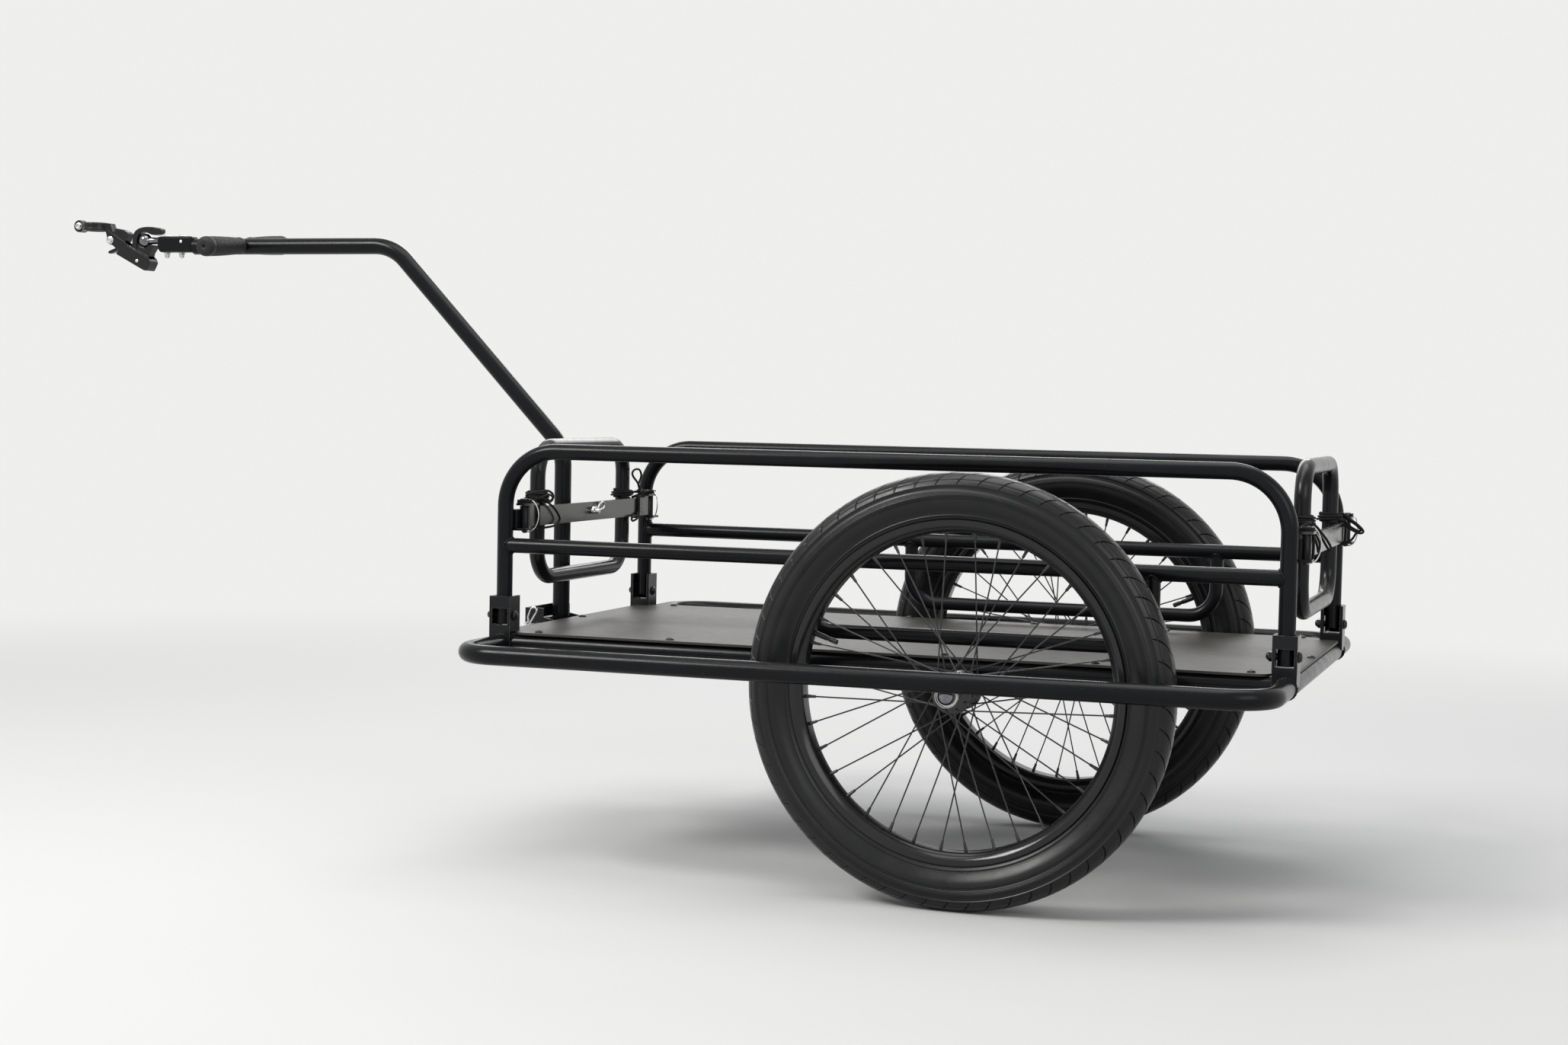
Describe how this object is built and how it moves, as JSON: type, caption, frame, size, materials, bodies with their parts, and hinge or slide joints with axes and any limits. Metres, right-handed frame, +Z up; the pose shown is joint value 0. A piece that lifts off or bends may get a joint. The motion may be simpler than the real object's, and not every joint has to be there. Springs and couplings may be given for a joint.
{
  "type": "bike_trailer",
  "caption": "Folding flat-bed bicycle cargo trailer with hinged side panels, lift-off gates, bent drawbar, seat-post ball hitch and spoked wheels with outer guard rails",
  "frame": {"origin": "middle of the ground rectangle of the whole trailer's box, on the ground", "axes": "+X forward to the hitch, +Y to the trailer's left, +Z up"},
  "size_m": [1.8178, 0.7612, 0.8311],
  "materials": {
    "frame_paint": "black powder coat, satin",
    "deck_board": "dark brown-grey coated panel, satin",
    "tyre_rubber": "black rubber, matte",
    "rim_black": "black anodised, satin",
    "spoke_black": "black coated steel",
    "bright_steel": "zinc plated steel",
    "chrome_ball": "polished steel",
    "black_steel": "black coated steel, satin",
    "grip_rubber": "black ribbed rubber",
    "black_cord": "black braided cord"
  },
  "bodies": {
    "base": {"base_frame": "frame_paint", "outrigger_left": "frame_paint", "outrigger_right": "frame_paint", "deck_board": "deck_board", "hinge_bracket_front_left": "frame_paint", "hinge_bracket_front_right": "frame_paint", "hinge_bracket_rear_left": "frame_paint", "hinge_bracket_rear_right": "frame_paint", "hinge_bolt_front_left": "black_steel", "hinge_bolt_front_right": "black_steel", "hinge_bolt_rear_left": "black_steel", "hinge_bolt_rear_right": "black_steel", "drawbar_foot_bracket": "frame_paint", "stub_axle_left": "bright_steel", "stub_axle_right": "bright_steel"},
    "left_panel": {"side_panel_left": "frame_paint", "wheel_guard_left": "frame_paint"},
    "right_panel": {"side_panel_right": "frame_paint", "wheel_guard_right": "frame_paint"},
    "rear_gate": {"rear_gate_hoop": "frame_paint", "rear_gate_bar": "frame_paint", "lanyard_rear_left": "black_cord", "lanyard_rear_right": "black_cord"},
    "rear_gate_left_pin": {"rear_gate_pin_left": "bright_steel"},
    "rear_gate_right_pin": {"rear_gate_pin_right": "bright_steel"},
    "front_gate_and_drawbar": {"front_gate_hoop": "frame_paint", "front_gate_bar": "frame_paint", "lanyard_front_left": "black_cord", "lanyard_front_right": "black_cord", "drawbar_tube": "frame_paint", "handle_cross_tube": "frame_paint", "grip_left": "grip_rubber", "grip_right": "grip_rubber", "drawbar_end_fitting": "frame_paint", "fitting_bolt_rear": "bright_steel", "fitting_bolt_front": "bright_steel"},
    "front_gate_left_pin": {"front_gate_pin_left": "bright_steel"},
    "front_gate_right_pin": {"front_gate_pin_right": "bright_steel"},
    "drawbar_pin": {"gate_bar_pin": "bright_steel"},
    "drawbar_pin_clip": {"gate_bar_pin_clip": "bright_steel"},
    "drawbar_foot_pin": {"foot_pin": "bright_steel"},
    "drawbar_foot_clip": {"foot_pin_clip": "bright_steel"},
    "ball": {"hitch_ball": "chrome_ball"},
    "hitch": {"hitch_head": "black_steel", "clamp_bolt_rear": "bright_steel"},
    "claw": {"hitch_claw": "black_steel"},
    "lever": {"hitch_lever": "black_steel"},
    "clamp": {"clamp_half_left": "black_steel", "clamp_half_right": "black_steel", "clamp_bolt_front": "bright_steel"},
    "left_wheel": {"tyre_left": "tyre_rubber", "rim_left": "rim_black", "hub_and_spokes_left": "spoke_black", "valve_left": "black_steel"},
    "right_wheel": {"tyre_right": "tyre_rubber", "rim_right": "rim_black", "hub_and_spokes_right": "spoke_black", "valve_right": "black_steel"},
    "left_button": {"axle_button_left": "chrome_ball"},
    "right_button": {"axle_button_right": "chrome_ball"}
  },
  "joints": [
    {"name": "left_panel_fold", "type": "hinge", "parent": "base", "child": "left_panel", "pos_m": [0.0964, 0.228, 0.309], "axis": [1, 0, 0], "range_deg": [0, 80]},
    {"name": "right_panel_fold", "type": "hinge", "parent": "base", "child": "right_panel", "pos_m": [0.0964, -0.228, 0.309], "axis": [1, 0, 0], "range_deg": [-80, 0]},
    {"name": "rear_gate_lift", "type": "slide", "parent": "base", "child": "rear_gate", "axis": [0, 0, 1], "range_m": [0, 1.12]},
    {"name": "front_gate_and_drawbar_lift", "type": "slide", "parent": "base", "child": "front_gate_and_drawbar", "axis": [0, 0, 1], "range_m": [0, 1.12]},
    {"name": "rear_gate_left_pin_pull", "type": "slide", "parent": "rear_gate", "child": "rear_gate_left_pin", "axis": [0, 0, 1], "range_m": [0, 0.05]},
    {"name": "rear_gate_right_pin_pull", "type": "slide", "parent": "rear_gate", "child": "rear_gate_right_pin", "axis": [0, 0, 1], "range_m": [0, 0.05]},
    {"name": "front_gate_left_pin_pull", "type": "slide", "parent": "front_gate_and_drawbar", "child": "front_gate_left_pin", "axis": [0, 0, 1], "range_m": [0, 0.05]},
    {"name": "front_gate_right_pin_pull", "type": "slide", "parent": "front_gate_and_drawbar", "child": "front_gate_right_pin", "axis": [0, 0, 1], "range_m": [0, 0.05]},
    {"name": "drawbar_pin_clip_pull", "type": "slide", "parent": "front_gate_and_drawbar", "child": "drawbar_pin_clip", "axis": [0, -0.9929, 0.1191], "range_m": [0, 0.15]},
    {"name": "drawbar_pin_pull", "type": "slide", "parent": "front_gate_and_drawbar", "child": "drawbar_pin", "axis": [1, 0, 0], "range_m": [0, 0.075]},
    {"name": "foot_clip_pull", "type": "slide", "parent": "base", "child": "drawbar_foot_clip", "axis": [-0.2, 0, 0.9798], "range_m": [0, 0.15]},
    {"name": "foot_pin_pull", "type": "slide", "parent": "base", "child": "drawbar_foot_pin", "axis": [0, -1, 0], "range_m": [0, 0.12]},
    {"name": "ball_roll", "type": "hinge", "parent": "front_gate_and_drawbar", "child": "ball", "pos_m": [0.7897, 0, 0.8008], "axis": [1, 0, 0], "range_deg": [-15, 15]},
    {"name": "hitch_swing", "type": "hinge", "parent": "ball", "child": "hitch", "pos_m": [0.7897, 0, 0.8008], "axis": [0, 0, 1], "range_deg": [-25, 25]},
    {"name": "clamp_tilt", "type": "hinge", "parent": "hitch", "child": "clamp", "pos_m": [0.8449, 0, 0.8015], "axis": [0, 1, 0], "range_deg": [-15, 15]},
    {"name": "lever_pull", "type": "hinge", "parent": "hitch", "child": "lever", "pos_m": [0.7982, 0, 0.7715], "axis": [0, -1, 0], "range_deg": [0, 15], "stiffness_Nm_per_rad": 0.4},
    {"name": "claw_open", "type": "hinge", "parent": "hitch", "child": "claw", "pos_m": [0.8062, 0, 0.7863], "axis": [0, 1, 0], "range_deg": [0, 18]},
    {"name": "left_wheel_spin", "type": "hinge", "parent": "base", "child": "left_wheel", "pos_m": [-0.5196, 0.299, 0.255], "axis": [0, 1, 0], "continuous": true},
    {"name": "right_wheel_spin", "type": "hinge", "parent": "base", "child": "right_wheel", "pos_m": [-0.5196, -0.299, 0.255], "axis": [0, 1, 0], "continuous": true},
    {"name": "left_button_push", "type": "slide", "parent": "base", "child": "left_button", "axis": [0, -1, 0], "range_m": [0, 0.003], "stiffness_N_per_m": 300},
    {"name": "right_button_push", "type": "slide", "parent": "base", "child": "right_button", "axis": [0, 1, 0], "range_m": [0, 0.003], "stiffness_N_per_m": 300}
  ],
  "couplings": [
    {"joint": "right_panel_fold", "follows": "left_panel_fold", "ratio": -1},
    {"joint": "rear_gate_lift", "follows": "left_panel_fold", "m_per_rad": 0.8},
    {"joint": "front_gate_and_drawbar_lift", "follows": "left_panel_fold", "m_per_rad": 0.8},
    {"joint": "drawbar_pin_pull", "follows": "drawbar_pin_clip_pull", "ratio": 0.5},
    {"joint": "foot_pin_pull", "follows": "foot_clip_pull", "ratio": 0.8},
    {"joint": "claw_open", "follows": "lever_pull", "ratio": 1.2}
  ]
}
